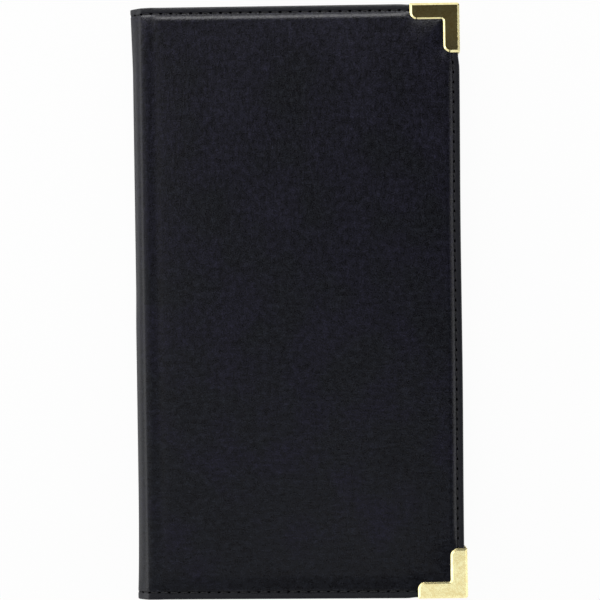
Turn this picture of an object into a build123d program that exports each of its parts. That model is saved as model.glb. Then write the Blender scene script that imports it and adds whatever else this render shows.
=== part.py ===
"""Guest check presenter: a padded, leatherette-covered folder with metal corners.

The closed presenter lies flat. X runs from the spine to the free edge, Y along the
spine towards the top edge and Z up; the origin is at the centre of the bottom face.
Both covers are the same sandwich, so each one is laid out in its own cover frame:
x from the centre line of the spine fold to the free edge, z from the plane between
the closed covers outwards. The outer leatherette and the inner lining are each one
sheet on the real object. Both are cut here at the two crease lines where they bend.
"""

from build123d import *

import math
import os

# Covers, mm
cover_length = 253.0
cover_reach = 135.3  # fold centre line to free edge
board_start = 5.0  # fold centre line to board, the soft joint beside the spine
corner_rounding = 1.2
edge_rounding = 0.65

# Layers of one cover, from the inside out
inner_gap = 3.0  # between the two linings when closed
lining_thickness = 0.5
turn_in_thickness = 0.4  # the skin's edge is pared thin where it turns in
board_thickness = 1.5
foam_thickness = 2.0
skin_thickness = 0.8

turn_in_width = 11.0
lining_margin = 1.6  # cover edge to lining edge
pad_margin = 3.4  # cover edge to the foot of the padding
pad_shoulder = 1.6  # rounding of the padding's rim
pad_corner_rounding = 3.4
pad_notch_rounding = 1.2

# Spine creases
crease_gap = 0.2
crease_angle = 45.0  # of the fold's arc that belongs to each cover

# Metal corners
metal_thickness = 0.4
metal_rise = 0.4  # pressed-up height of the face over the leatherette
metal_lip_width = 0.95  # of the edges that are pressed down to the leatherette
metal_lip_drop = 0.72
metal_lip_room = 0.45  # between the hollow under the face and the lip
metal_corner_rounding = 1.0
metal_arm = 21.2
metal_width = 7.2
metal_end_rounding = 3.1
metal_crook_rounding = 0.8
metal_clearance = 0.35  # between metal and padding

# Stitching
stitch_inset = 2.7  # cover edge to seam
stitch_pitch = 4.2
stitch_share = 0.78  # of the pitch that shows as thread
thread_radius = 0.25

# Pockets
pocket_thickness = 0.6
hem_thickness = 0.5
hem_width = 4.5
pocket_margin = 8.2  # cover edge to pocket
pocket_joint_margin = 3.0  # board edge to pocket, on the spine side
receipt_pocket_height = 88.0
check_pocket_height = 104.0
pocket_seam_inset = 1.8
card_pocket_width = 99.0
card_pocket_height = 50.0
card_pocket_lift = 34.0  # receipt pocket's mouth to card pocket
thumb_notch_radius = 10.0
pocket_corner_rounding = 1.5
hem_gap = 0.2  # between the hem strips at the pocket's lower corners

# Levels in the cover frame
lining_face = inner_gap / 2
turn_in_face = lining_face + lining_thickness
board_face = turn_in_face + turn_in_thickness
board_back = board_face + board_thickness
rim_level = board_back + skin_thickness
foam_top = board_back + foam_thickness
pad_level = foam_top + skin_thickness
metal_proud = metal_rise + metal_thickness

# Spine fold
fold_outer = rim_level
fold_middle = fold_outer - skin_thickness
fold_inner = fold_middle - lining_thickness
half_length = cover_length / 2
fold_x = (fold_outer + thread_radius - cover_reach - metal_thickness) / 2

COVER_FRAMES = {
    "front": Plane(origin=(fold_x, 0, pad_level), x_dir=(1, 0, 0), z_dir=(0, 0, 1)),
    "back": Plane(origin=(fold_x, 0, pad_level), x_dir=(1, 0, 0), z_dir=(0, 0, -1)),
}
BOTTOM = {"front": -1, "back": 1}  # sign of the cover frame's y at the bottom edge

os.makedirs("parts", exist_ok=True)


def save(piece, name):
    """Labels a finished piece and writes it as its own node."""
    piece.part.label = name
    export_step(piece.part, f"parts/{name}.step")


def section_plane(frame):
    """The plane across the spine, its x along the cover's x and its y outwards."""
    return Plane(origin=frame.origin, x_dir=frame.x_dir, z_dir=-frame.y_dir)


def rectangle(x_low, x_high, y_low, y_high, mode=Mode.ADD):
    """A rectangle of the current sketch between the four given sides."""
    with Locations(((x_low + x_high) / 2, (y_low + y_high) / 2)):
        return Rectangle(x_high - x_low, y_high - y_low, mode=mode)


def ring_segment(outer, inner, low_angle, high_angle):
    """A piece of the fold's section between two angles, in degrees."""
    with BuildSketch() as segment:
        with BuildLine():
            outside = CenterArc((0, 0), outer, low_angle, high_angle - low_angle)
            inside = CenterArc((0, 0), inner, low_angle, high_angle - low_angle)
            Line(outside @ 0, inside @ 0)
            Line(outside @ 1, inside @ 1)
        make_face()
    return segment.sketch


def corner_l(width, arm, end_rounding):
    """An L with its outer corner at the origin, its arms towards -x and -y and their ends rounded."""
    with BuildSketch() as outline:
        Rectangle(arm, width, align=(Align.MAX, Align.MAX))
        Rectangle(width, arm, align=(Align.MAX, Align.MAX))
        arm_ends = [(-arm, -width, 0), (-width, -arm, 0)]
        ends = [outline.vertices().sort_by_distance(end)[0] for end in arm_ends]
        fillet(ends, end_rounding)
    return outline.sketch


def metal_outline(inset=0.0):
    """The plan of a metal corner, or of its inside one sheet thickness in."""
    width = metal_width - 2 * inset
    arm = metal_arm - 2 * inset
    with BuildSketch() as outline:
        with Locations((-inset, -inset)):
            add(corner_l(width, arm, metal_end_rounding - inset))
        crook = outline.vertices().sort_by_distance((inset - metal_width, inset - metal_width, 0))[0]
        fillet(crook, metal_crook_rounding + inset)
        corner = outline.vertices().sort_by_distance((0, 0, 0))[0]
        fillet(corner, metal_corner_rounding - inset)
    return outline.sketch


def at_corner(outline, y_sign):
    """The outline moved to the free corner of a cover, on the side y_sign."""
    turned = outline if y_sign > 0 else outline.mirror(Plane.XZ)
    corner_x = cover_reach + metal_thickness
    corner_y = y_sign * (half_length + metal_thickness)
    return turned.moved(Location((corner_x, corner_y, 0)))


def pad_outline(inset):
    """The plan of the padding: the cover less its sewn rim and the room of the metal corners."""
    x_low = board_start + inset
    x_high = cover_reach - pad_margin - inset
    y_end = half_length - pad_margin - inset
    grown = metal_clearance + inset
    with BuildSketch() as outline:
        rectangle(x_low, x_high, -y_end, y_end)
        spine_side = outline.vertices().group_by(Axis.X)[0]
        fillet(spine_side, pad_corner_rounding - inset)
        for y_sign in (1, -1):
            room = corner_l(metal_width + grown, metal_arm + grown, pad_notch_rounding + inset)
            add(at_corner(room, y_sign), mode=Mode.SUBTRACT)
    return outline.sketch


def padding_block(frame, inset, top_level, rounding):
    """The padding's volume from the board outwards, with a rounded rim."""
    with BuildPart() as block:
        with BuildSketch(frame.offset(board_back)):
            add(pad_outline(inset))
        extrude(amount=top_level - board_back)
        top = block.faces().sort_by(Axis(frame.origin, frame.z_dir))[-1]
        fillet(top.edges(), rounding)
    return block.part


# Angles of the fold's section where the pieces meet, each crease in the middle of its gap
gap_angle = math.degrees(crease_gap / 2 / fold_outer)
crease_at = 90 + crease_angle
cover_fold_end = crease_at - gap_angle
spine_fold_start = crease_at + gap_angle


# The leatherette of each cover: one sheet, turned in round the board on three sides
for side, frame in COVER_FRAMES.items():
    foam_block = padding_block(frame, skin_thickness, foam_top, pad_shoulder - skin_thickness)
    dome_block = padding_block(frame, 0, pad_level, pad_shoulder)
    with BuildPart() as skin:
        with BuildSketch(frame.offset(turn_in_face)):
            rectangle(board_start, cover_reach, -half_length, half_length)
        extrude(amount=rim_level - turn_in_face)
        fillet(skin.edges().filter_by(Axis.Z).group_by(Axis.X)[-1], corner_rounding)
        with BuildSketch(frame.offset(board_back)):
            rectangle(0, board_start, -half_length, half_length)
        extrude(amount=skin_thickness)
        turned_edges = skin.faces().filter_by(Axis.Z).edges().filter_by(
            lambda edge: edge.center().X > fold_x + board_start
            and (
                abs(edge.center().Y) > half_length - corner_rounding
                or edge.center().X > fold_x + cover_reach - corner_rounding
            )
        )
        fillet(turned_edges, edge_rounding)
        with BuildSketch(section_plane(frame)):
            add(ring_segment(fold_outer, fold_middle, 90, cover_fold_end))
        extrude(amount=half_length, both=True)
        add(dome_block)
        with BuildSketch(frame.offset(board_face)):
            rectangle(
                board_start,
                cover_reach - skin_thickness,
                skin_thickness - half_length,
                half_length - skin_thickness,
            )
        extrude(amount=board_thickness, mode=Mode.SUBTRACT)
        with BuildSketch(frame.offset(turn_in_face)):
            rectangle(
                board_start,
                cover_reach - turn_in_width,
                turn_in_width - half_length,
                half_length - turn_in_width,
            )
        extrude(amount=turn_in_thickness, mode=Mode.SUBTRACT)
        add(foam_block, mode=Mode.SUBTRACT)
    save(skin, f"{side}_skin")

    with BuildPart() as foam:
        add(foam_block)
    save(foam, f"{side}_foam_pad")

    with BuildPart() as board:
        with BuildSketch(frame.offset(board_face)):
            rectangle(
                board_start,
                cover_reach - skin_thickness,
                skin_thickness - half_length,
                half_length - skin_thickness,
            )
        extrude(amount=board_thickness)
    save(board, f"{side}_board")

    # The lining steps down from the fold to the board's inner face
    with BuildPart() as lining:
        with BuildSketch(section_plane(frame)):
            add(ring_segment(fold_middle, fold_inner, 90, cover_fold_end))
            rectangle(0, board_start, fold_inner, fold_middle)
            rectangle(board_start - lining_thickness, board_start, lining_face, fold_middle)
            rectangle(
                board_start - lining_thickness,
                cover_reach - lining_margin,
                lining_face,
                turn_in_face,
            )
        extrude(amount=half_length - lining_margin, both=True)
        with BuildSketch(frame.offset(turn_in_face)):
            rectangle(
                board_start,
                cover_reach - turn_in_width,
                turn_in_width - half_length,
                half_length - turn_in_width,
            )
        extrude(amount=turn_in_thickness)
    save(lining, f"{side}_lining")

# The middle of the fold, between the two creases
spine_section = section_plane(COVER_FRAMES["front"])
spine_fold_end = 360 - spine_fold_start
with BuildPart() as spine_skin:
    with BuildSketch(spine_section):
        add(ring_segment(fold_outer, fold_middle, spine_fold_start, spine_fold_end))
    extrude(amount=half_length, both=True)
save(spine_skin, "spine_skin")

with BuildPart() as spine_lining:
    with BuildSketch(spine_section):
        add(ring_segment(fold_middle, fold_inner, spine_fold_start, spine_fold_end))
    extrude(amount=half_length - lining_margin, both=True)
save(spine_lining, "spine_lining")


# Metal corners: pressed sheet, folded round the free corners of each cover
metal_end_names = {"front": {1: "top", -1: "bottom"}, "back": {-1: "top", 1: "bottom"}}
for side, frame in COVER_FRAMES.items():
    for y_sign, end_name in metal_end_names[side].items():
        plan = at_corner(metal_outline(), y_sign)
        inside = at_corner(metal_outline(metal_thickness + metal_lip_room), y_sign)
        with BuildPart() as corner:
            with BuildSketch(frame.offset(lining_face - metal_proud)):
                add(plan)
            extrude(amount=rim_level - lining_face + 2 * metal_proud)
            for face in corner.faces().filter_by(Axis.Z):
                chamfer(face.edges(), metal_lip_width, metal_lip_drop, reference=face)
            for low, high in (
                (lining_face - metal_rise, lining_face),
                (rim_level, rim_level + metal_rise),
            ):
                with BuildSketch(frame.offset(low)):
                    add(inside)
                extrude(amount=high - low, mode=Mode.SUBTRACT)
            with BuildSketch(frame.offset(lining_face)) as slot:
                rectangle(0, cover_reach, -half_length, half_length)
                fillet(slot.vertices().group_by(Axis.X)[-1], corner_rounding)
            extrude(amount=rim_level - lining_face, mode=Mode.SUBTRACT)
        save(corner, f"{side}_corner_{end_name}")


# Stitches: half-round threads that lie on a surface
stitch_length = stitch_share * stitch_pitch
with BuildPart() as straight_stitch:
    with BuildSketch(Plane.YZ):
        Circle(thread_radius)
        rectangle(-thread_radius, thread_radius, -thread_radius, 0, mode=Mode.SUBTRACT)
    extrude(amount=stitch_length / 2, both=True)


def seam(frame, start, end, level, inwards=False):
    """Places of a straight seam's stitches, on a level of the cover frame."""
    run = Vector(*end) - Vector(*start)
    count = round(run.length / stitch_pitch)
    turn = (180 if inwards else 0, 0, math.degrees(math.atan2(run.Y, run.X)))
    middles = [Vector(*start) + run * ((index + 0.5) / count) for index in range(count)]
    return [frame.location * Location((middle.X, middle.Y, level), turn) for middle in middles]


def fold_stitch(frame, level, angle, y, inwards=False):
    """A stitch that follows the fold at an angle of its section."""
    sweep = stitch_share * crease_angle
    lost_half = (level, level + thread_radius) if inwards else (level - thread_radius, level)
    with BuildPart() as stitch:
        with BuildSketch(Plane.XZ):
            with Locations((level, 0)):
                Circle(thread_radius)
            rectangle(*lost_half, -thread_radius, thread_radius, mode=Mode.SUBTRACT)
        revolve(axis=Axis.Z, revolution_arc=sweep)
    return stitch.part.moved(
        section_plane(frame).location * Location((0, 0, y), (0, 0, angle - sweep / 2))
    )


seam_y = half_length - stitch_inset
seam_x = cover_reach - stitch_inset
metal_arm_x = cover_reach + metal_thickness - metal_arm
metal_arm_y = half_length + metal_thickness - metal_arm
for side, frame in COVER_FRAMES.items():
    free_seam = (seam_x, -metal_arm_y), (seam_x, metal_arm_y)
    places = seam(frame, *free_seam, rim_level) + seam(frame, *free_seam, lining_face, True)
    with BuildPart() as stitching:
        for y in (seam_y, -seam_y):
            joint_end_x = board_start - lining_thickness
            places += seam(frame, (0, y), (metal_arm_x, y), rim_level)
            places += seam(frame, (0, y), (joint_end_x, y), fold_inner, True)
            places += seam(frame, (board_start, y), (metal_arm_x, y), lining_face, True)
            add(fold_stitch(frame, fold_outer, 90 + crease_angle / 2, y))
            add(fold_stitch(frame, fold_inner, 90 + crease_angle / 2, y, True))
        with Locations(*places):
            add(straight_stitch.part)
    save(stitching, f"{side}_edge_stitching")

with BuildPart() as spine_stitching:
    for y in (seam_y, -seam_y):
        for angle in (crease_at + crease_angle / 2, 180 + crease_angle / 2):
            add(fold_stitch(COVER_FRAMES["front"], fold_outer, angle, y))
            add(fold_stitch(COVER_FRAMES["front"], fold_inner, angle, y, True))
save(spine_stitching, "spine_stitching")


# Pockets: a sheet sewn down on three sides over its own folded hems
pocket_x = (board_start + pocket_joint_margin, cover_reach - pocket_margin)
pocket_foot = half_length - pocket_margin  # cover centre to the pockets' lower edge
card_pocket_x = (sum(pocket_x) - card_pocket_width) / 2, (sum(pocket_x) + card_pocket_width) / 2
card_pocket_foot = pocket_foot - receipt_pocket_height - card_pocket_lift
POCKETS = {
    "receipt_pocket": ("front", pocket_x, pocket_foot, receipt_pocket_height, 0),
    "card_pocket": ("front", card_pocket_x, card_pocket_foot, card_pocket_height, thumb_notch_radius),
    "check_pocket": ("back", pocket_x, pocket_foot, check_pocket_height, 0),
}
hem_level = lining_face - hem_thickness
pocket_face = hem_level - pocket_thickness
for name, (side, (x_low, x_high), foot, height, notch_radius) in POCKETS.items():
    # Pocket frame: the cover frame with its y from the pocket's foot up to its mouth
    down = BOTTOM[side]
    frame = COVER_FRAMES[side]

    def y_span(low, high):
        """Two heights over the pocket's foot as y of the cover frame, in order."""
        return sorted((down * (foot - low), down * (foot - high)))

    with BuildPart() as pocket:
        with BuildSketch(frame.offset(pocket_face)) as sheet:
            rectangle(x_low, x_high, *y_span(0, height))
            foot_corners = sheet.vertices().sort_by(Axis.Y)
            fillet(foot_corners[:2] if down < 0 else foot_corners[2:], pocket_corner_rounding)
            if notch_radius:
                with Locations(((x_low + x_high) / 2, down * (foot - height))):
                    Circle(notch_radius, mode=Mode.SUBTRACT)
        extrude(amount=pocket_thickness)
    save(pocket, name)

    with BuildPart() as hem:
        with BuildSketch(frame.offset(hem_level)) as strips:
            rectangle(x_low, x_high, *y_span(0, hem_width))
            foot_corners = strips.vertices().sort_by(Axis.Y)
            fillet(foot_corners[:2] if down < 0 else foot_corners[2:], pocket_corner_rounding)
            for edge_x in (x_low, x_high - hem_width):
                rectangle(edge_x, edge_x + hem_width, *y_span(hem_width + hem_gap, height))
        extrude(amount=hem_thickness)
    save(hem, f"{name}_hem")

    left, right = x_low + pocket_seam_inset, x_high - pocket_seam_inset
    low, high = down * (foot - pocket_seam_inset), down * (foot - height)
    places = []
    for start, end in (
        ((left, high), (left, low)),
        ((left, low), (right, low)),
        ((right, low), (right, high)),
    ):
        places += seam(frame, start, end, pocket_face, True)
    with BuildPart() as pocket_stitching:
        with Locations(*places):
            add(straight_stitch.part)
    save(pocket_stitching, f"{name}_stitching")
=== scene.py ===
# %% [markdown]
# # A padded guest check presenter
#
# This lesson dresses a small folding presenter: two stiff covers in black imitation leather, a padded panel
# on each, a soft fold between them, black seams and brass corner guards.
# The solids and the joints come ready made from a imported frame. Blender adds what solids don't say: how the
# leatherette swells over its foam, how thread lies in its seam and how the finishes answer to light.

# %% Load the frame
import math

import bpy
import numpy as np
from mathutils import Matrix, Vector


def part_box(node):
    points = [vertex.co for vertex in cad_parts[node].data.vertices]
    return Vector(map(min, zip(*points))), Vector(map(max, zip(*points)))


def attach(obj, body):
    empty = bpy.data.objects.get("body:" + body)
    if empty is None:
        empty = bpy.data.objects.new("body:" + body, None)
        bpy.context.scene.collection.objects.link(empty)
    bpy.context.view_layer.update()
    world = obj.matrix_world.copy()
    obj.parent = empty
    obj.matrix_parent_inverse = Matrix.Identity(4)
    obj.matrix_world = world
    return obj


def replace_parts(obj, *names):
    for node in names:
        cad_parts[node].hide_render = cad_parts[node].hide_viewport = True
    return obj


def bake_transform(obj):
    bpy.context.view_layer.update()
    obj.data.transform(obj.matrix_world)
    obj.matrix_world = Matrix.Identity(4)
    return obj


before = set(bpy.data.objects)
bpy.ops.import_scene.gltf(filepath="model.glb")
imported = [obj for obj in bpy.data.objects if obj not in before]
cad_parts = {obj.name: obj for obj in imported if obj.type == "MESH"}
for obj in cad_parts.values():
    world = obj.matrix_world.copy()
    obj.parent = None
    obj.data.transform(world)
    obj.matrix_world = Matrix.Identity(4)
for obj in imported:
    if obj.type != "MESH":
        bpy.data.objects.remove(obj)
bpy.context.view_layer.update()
print("nodes:", len(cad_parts))

# %% [markdown]
# ## Sizes
#
# Both covers are the same sandwich, so every soft piece is first laid out in a cover's own frame, in
# millimetres: `u` runs from the middle of the fold to the free edge, `y` along the fold and `level` outwards
# from the plane where the closed covers meet. Left of u = 0 the cover turns into the fold, and there `u` is
# an arc length and `level` a radius.

# %% Sizes of the covers and the fold, in millimetres
MM = 0.001
HALF_LENGTH = 126.5
REACH = 135.3
BOARD_START = 5.0
LINING_FACE = 1.5
TURN_IN_FACE = 2.0
FOLD_INNER, FOLD_MIDDLE, RIM_LEVEL = 3.4, 3.9, 4.7
PAD_LEVEL = 6.7
LINING_MARGIN = 1.6
SEAM_INSET = 2.7
METAL_ARM, METAL_WIDTH, METAL_THICKNESS = 21.2, 7.2, 0.4

fold_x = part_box("front_board")[0].x / MM - BOARD_START
mid_level = (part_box("front_board")[0].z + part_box("back_board")[1].z) / 2 / MM
fold_end = -RIM_LEVEL * math.pi / 2
COVERS = {"front": 1, "back": -1}
print(f"fold centre at x {fold_x:.3f} mm, mid-plane at z {mid_level:.3f} mm, fold half {-fold_end:.2f} mm")

# %% [markdown]
# ## Edges that stray
#
# Nothing sewn is quite straight. The fold hugs in between its two end seams and flares at both ends,
# the free edge wanders by half a millimetre, the top edge bulges and the foot runs a little aslant. The mesh
# could be sculpted so, but then each layer would stray on its own. Small formulas of the place keep them all
# together. A pair such as (3, 30) gives the two distances, in millimetres, between which a change sets in.

# %% How far the edges stray
SLIMMING, LOWER_SHARE = 0.50, 0.55
SLIM_FROM_TOP, SLIM_FROM_FOOT, LOWER_HALF = (3, 30), (2, 50), (-8, 12)
TOP_FLARE, TOP_FLARE_REACH, FOOT_FLARE, FOOT_FLARE_REACH = 0.45, 3.0, 0.60, 10.0
SIDE_PULL, SIDE_SWING, NEAR_SIDE = 0.32, 0.50, (100, 132)
UPPER_SWING, UPPER_RETURN, LOWER_SWING = (20, 105), (99, 105), (20, 110)
TOP_BULGE, TOP_PULL, NEAR_TOP = 0.20, 0.35, (90, HALF_LENGTH)
NEAR_FOLD, NEAR_METAL = (-5, 6), (110, 114)
FOOT_PULL, FOOT_SLANT, SLANT_END, NEAR_FOOT = 0.70, 1.05, 112, (60, HALF_LENGTH)
FOOT_SHIFT, FOOT_EDGE, FOOT_STRETCH = 0.40, (0, 2.5), (60, 115)


def smooth(value, low, high):
    """0 below low, 1 above high and a soft step in between."""
    t = np.clip((value - low) / (high - low), 0, 1)
    return t * t * (3 - 2 * t)


def fold_stray(y):
    """How far the fold is drawn in, or out where it flares."""
    from_top, from_foot = HALF_LENGTH - y, HALF_LENGTH + y
    lower = 1 - (1 - LOWER_SHARE) * smooth(-y, *LOWER_HALF)
    slim = SLIMMING * smooth(from_top, *SLIM_FROM_TOP) * smooth(from_foot, *SLIM_FROM_FOOT) * lower
    top_flare = TOP_FLARE * np.exp(-from_top / TOP_FLARE_REACH)
    foot_flare = FOOT_FLARE * np.exp(-from_foot / FOOT_FLARE_REACH)
    return slim - (top_flare + foot_flare)


def side_stray(u, y):
    """How far the free edge wanders outwards."""
    upper = smooth(y, *UPPER_SWING) * (1 - smooth(y, *UPPER_RETURN))
    swing = SIDE_SWING * (upper - smooth(-y, *LOWER_SWING))
    return (swing - SIDE_PULL) * smooth(u, *NEAR_SIDE)


def end_stray(u, y):
    """How far the top edge and the foot wander along the fold. The metal corners hold them straight."""
    free = 1 - smooth(u, *NEAR_METAL)
    top = (TOP_BULGE * free - TOP_PULL * (1 - smooth(u, *NEAR_FOLD))) * smooth(y, *NEAR_TOP)
    slant = (FOOT_PULL - FOOT_SLANT * np.clip(u, 0, SLANT_END) / SLANT_END) * smooth(-y, *NEAR_FOOT)
    shift = FOOT_SHIFT * smooth(HALF_LENGTH + y, *FOOT_EDGE) * smooth(-y, *FOOT_STRETCH)
    return top + (slant + shift) * free


print(f"drawn in at mid-fold {fold_stray(0.0):.2f} mm, flared at the top {-fold_stray(HALF_LENGTH):.2f} mm")

# %% [markdown]
# ## From the cover's frame to the room
#
# A folded sheet of padded leatherette isn't a half pipe: it breaks over each cover's edge and runs nearly
# straight to the middle of the fold. A bend modifier would make the half pipe, so each half is drawn as a
# superellipse instead. All layers share this one function, so they stay together.

# %% Place points of a cover
FOLD_SQUARENESS = 1.3


def fold_turn(u):
    """The angle round the fold: 0 on the cover and a quarter turn in the middle of the fold."""
    return np.clip(-u, 0, -fold_end) / RIM_LEVEL


def place(side, u, y, level):
    """Points of one cover in metres, from its own coordinates in millimetres."""
    u, y, level = np.broadcast_arrays(u, y, level)
    across, up = np.sin(fold_turn(u)), np.clip(np.cos(fold_turn(u)), 0, 1)
    radius = level / (across**FOLD_SQUARENESS + up**FOLD_SQUARENESS) ** (1 / FOLD_SQUARENESS)
    x = np.where(u < 0, -radius * across, u) + fold_stray(y) * across**2 + side_stray(u, y)
    out = np.where(u < 0, radius * up, level)
    points = np.stack([fold_x + x, y + end_stray(u, y), mid_level + COVERS[side] * out], axis=-1)
    return points * MM


print("mid-fold point:", place("front", fold_end, 0.0, RIM_LEVEL))

# %% [markdown]
# ## Shader maths as plain expressions
#
# A finish is easiest to read as a formula, so one small class wraps a node's socket and lets Python's own
# operators add the Math nodes. Everything that isn't arithmetic comes from one method of the finish, which
# takes the node's type, its settings and its sockets.

# %% A socket that does arithmetic
class Signal:
    """An output socket of a finish. Arithmetic on it adds Math nodes."""

    def __init__(self, finish, socket):
        self.finish, self.socket = finish, socket

    def math(self, operation, *values):
        sockets = dict(enumerate(values))
        return self.finish.node("ShaderNodeMath", {"operation": operation}, sockets)["Value"]

    def __add__(self, other):
        return self.math("ADD", self, other)

    def __sub__(self, other):
        return self.math("SUBTRACT", self, other)

    def __rsub__(self, other):
        return self.math("SUBTRACT", other, self)

    def __mul__(self, other):
        return self.math("MULTIPLY", self, other)

    def __lt__(self, other):
        return self.math("LESS_THAN", self, other)

    def __abs__(self):
        return self.math("ABSOLUTE", self)

    def root(self):
        return self.math("SQRT", self)

    def larger(self, other):
        return self.math("MAXIMUM", self, other)

    def zigzag(self, half_period):
        """Distance to the nearest whole period, rising and falling in turn."""
        return self.math("PINGPONG", self, half_period)

    __radd__ = __add__
    __rmul__ = __mul__


# %% A finish that adds any other node
class Finish:
    """A material in the making, or the world."""

    def __init__(self, name, family="materials"):
        self.material = getattr(bpy.data, family).new(name)
        self.material.use_nodes = True
        self.tree = self.material.node_tree
        self.tree.nodes.clear()

    def node(self, kind, settings, sockets):
        """Adds a node: its settings first, then the values or links of its sockets."""
        made = self.tree.nodes.new(kind)
        for name, value in settings.items():
            if name == "stops":
                for element, (position, grey) in zip(made.color_ramp.elements, value):
                    element.position, element.color = position, (grey, grey, grey, 1)
            else:
                setattr(made, name, value)
        usable = [socket for socket in made.inputs if socket.enabled]
        for key, value in sockets.items():
            named = usable[key] if isinstance(key, int) else next(s for s in usable if s.name == key)
            if isinstance(value, Signal):
                self.tree.links.new(value.socket, named)
            else:
                named.default_value = value
        return {s.name: Signal(self, s) for s in made.outputs if s.enabled}

    def surface(self, shader, output="ShaderNodeOutputMaterial"):
        self.node(output, {}, {"Surface": shader})
        print("finish:", self.material.name, "with", len(self.tree.nodes), "nodes")
        return self.material


def rgb(red, green, blue):
    """A colour as a shader socket takes it."""
    return (red, green, blue, 1.0)


# %% [markdown]
# ## Where a pattern lies
#
# A pattern has to stay put when a cover opens. The bending pieces carry their resting place as a vector on
# every point, in millimetres: across the cover and along the fold. Pieces that only swing can use their own
# object coordinates, which move with them.

# %% Coordinates of a finish
LAID_OUT = "laid_out"


def laid_out(finish):
    """The place on the cut-out sheet, in millimetres."""
    return finish.node("ShaderNodeAttribute", {"attribute_name": LAID_OUT}, {})["Vector"]


def own_place(finish):
    """The place on a rigid piece, in millimetres."""
    metres = finish.node("ShaderNodeTexCoord", {}, {})["Object"]
    sockets = {"Vector": metres, "Scale": 1 / MM}
    return finish.node("ShaderNodeVectorMath", {"operation": "SCALE"}, sockets)["Vector"]


def stretched(finish, place_signal, rotation, scale):
    """The same place turned by an angle and scaled unevenly."""
    sockets = {"Vector": place_signal, "Rotation": (0, 0, rotation), "Scale": scale}
    return finish.node("ShaderNodeMapping", {}, sockets)["Vector"]


def axes(finish, vector):
    """The three numbers of a place or a direction."""
    parts = finish.node("ShaderNodeSeparateXYZ", {}, {"Vector": vector})
    return parts["X"], parts["Y"], parts["Z"]


# %% Noises and steps of a finish
def noise(finish, place_signal, size, detail=2.0, roughness=0.5):
    """Smooth noise with features of about the given size in millimetres."""
    sockets = {"Vector": place_signal, "Scale": 1 / size, "Detail": detail, "Roughness": roughness}
    return finish.node("ShaderNodeTexNoise", {}, sockets)["Fac"]


def step(finish, value, low, high, start=0.0, end=1.0, kind="SMOOTHSTEP"):
    """From start below low to end above high. The kind LINEAR makes the change even instead of soft."""
    sockets = {"Value": value, "From Min": low, "From Max": high, "To Min": start, "To Max": end}
    return finish.node("ShaderNodeMapRange", {"interpolation_type": kind}, sockets)["Result"]


def shade(finish, value, dark_at, light_at):
    """A grey that is black below one value and white above another."""
    stops = {"stops": [(dark_at, 0.0), (light_at, 1.0)]}
    return finish.node("ShaderNodeValToRGB", stops, {"Fac": value})["Color"]


def mix(finish, factor, first, second):
    """A colour between two others."""
    sockets = {"Factor": factor, "A": first, "B": second}
    return finish.node("ShaderNodeMix", {"data_type": "RGBA"}, sockets)["Result"]


def bump(finish, height, depth):
    """A surface normal from a height between 0 and 1, with its depth in millimetres."""
    sockets = {"Height": height, "Distance": depth * MM, "Strength": 1.0}
    return finish.node("ShaderNodeBump", {}, sockets)["Normal"]


# %% [markdown]
# ## Imitation leather
#
# The real sheet is a black vinyl skin with a very fine, shallow grain, a soft sheen and no pores. A scanned
# texture would repeat and would fix the light, so noises make it: fine grain, speckles and broader blotches,
# and long faint creases where the skin has been pulled, lying across the lower part of a cover and standing
# up in its upper part. The same noises vary its colour and roughness a little, so that no patch is flat.
# The colour is darker in the hollows of the grain and the creases, which is painted shade; the rest of its
# mottle is tone that varies at random.

# %% The grain and the creases
# The first ink, nearly black, also fills the hollows of the grain and the creases as painted shade.
INK = rgb(0.0016, 0.0016, 0.0034)
PALE_INK = rgb(0.0214, 0.0252, 0.0375)
VIOLET_INK = rgb(0.0190, 0.0184, 0.0405)
# Nearly black for the needle holes: painted shade.
PAINTED_HOLE_SHADE = rgb(0.0010, 0.0010, 0.0012)
RUBBED_INK = rgb(0.0150, 0.0156, 0.0195)
SPECKLE_SIZE, GRAIN_SIZE, CREASE_SIZE, BLOTCH_SIZE, CLOUD_SIZE = 0.5, 0.9, 1.2, 2.6, 26.0
DETAIL, RAGGEDNESS = 3.0, 0.6
CREASE_SQUEEZE, LYING_TURN, STANDING_TURN = 0.22, 0.25, 0.10
UPPER_PART, UPPER_PART_WANDER = (-40.0, 60.0), 160


def pulled_creases(finish, place_signal, y, clouds):
    """Noise drawn out into creases, which turn from lying to standing on the way up the cover."""
    lying = stretched(finish, place_signal, LYING_TURN, (CREASE_SQUEEZE, 1.0, 1.0))
    standing = stretched(finish, place_signal, STANDING_TURN, (1.0, CREASE_SQUEEZE, 1.0))
    lying, standing = (noise(finish, way, CREASE_SIZE, DETAIL, RAGGEDNESS) for way in (lying, standing))
    upper = step(finish, y + UPPER_PART_WANDER * (clouds - 0.5), *UPPER_PART)
    return lying + upper * (standing - lying)


# %% The leatherette finish
CLOUD_SHARE, BLOTCH_SHARE, STROKE_SHARE, SPECKLE_SHARE = 0.10, 0.22, 0.28, 0.40
# The drift makes the colour darker and more violet towards the top edge: painted shade.
MOTTLE_SPAN, TINT_SPAN, TOPWARD_SHADE_DRIFT = (0.41, 0.615), (0.40, 0.56), 0.0009
ROUGHNESS_SWING, HOLE_DEPTH, VINYL_IOR = 0.14, 4.0, 1.45


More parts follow.
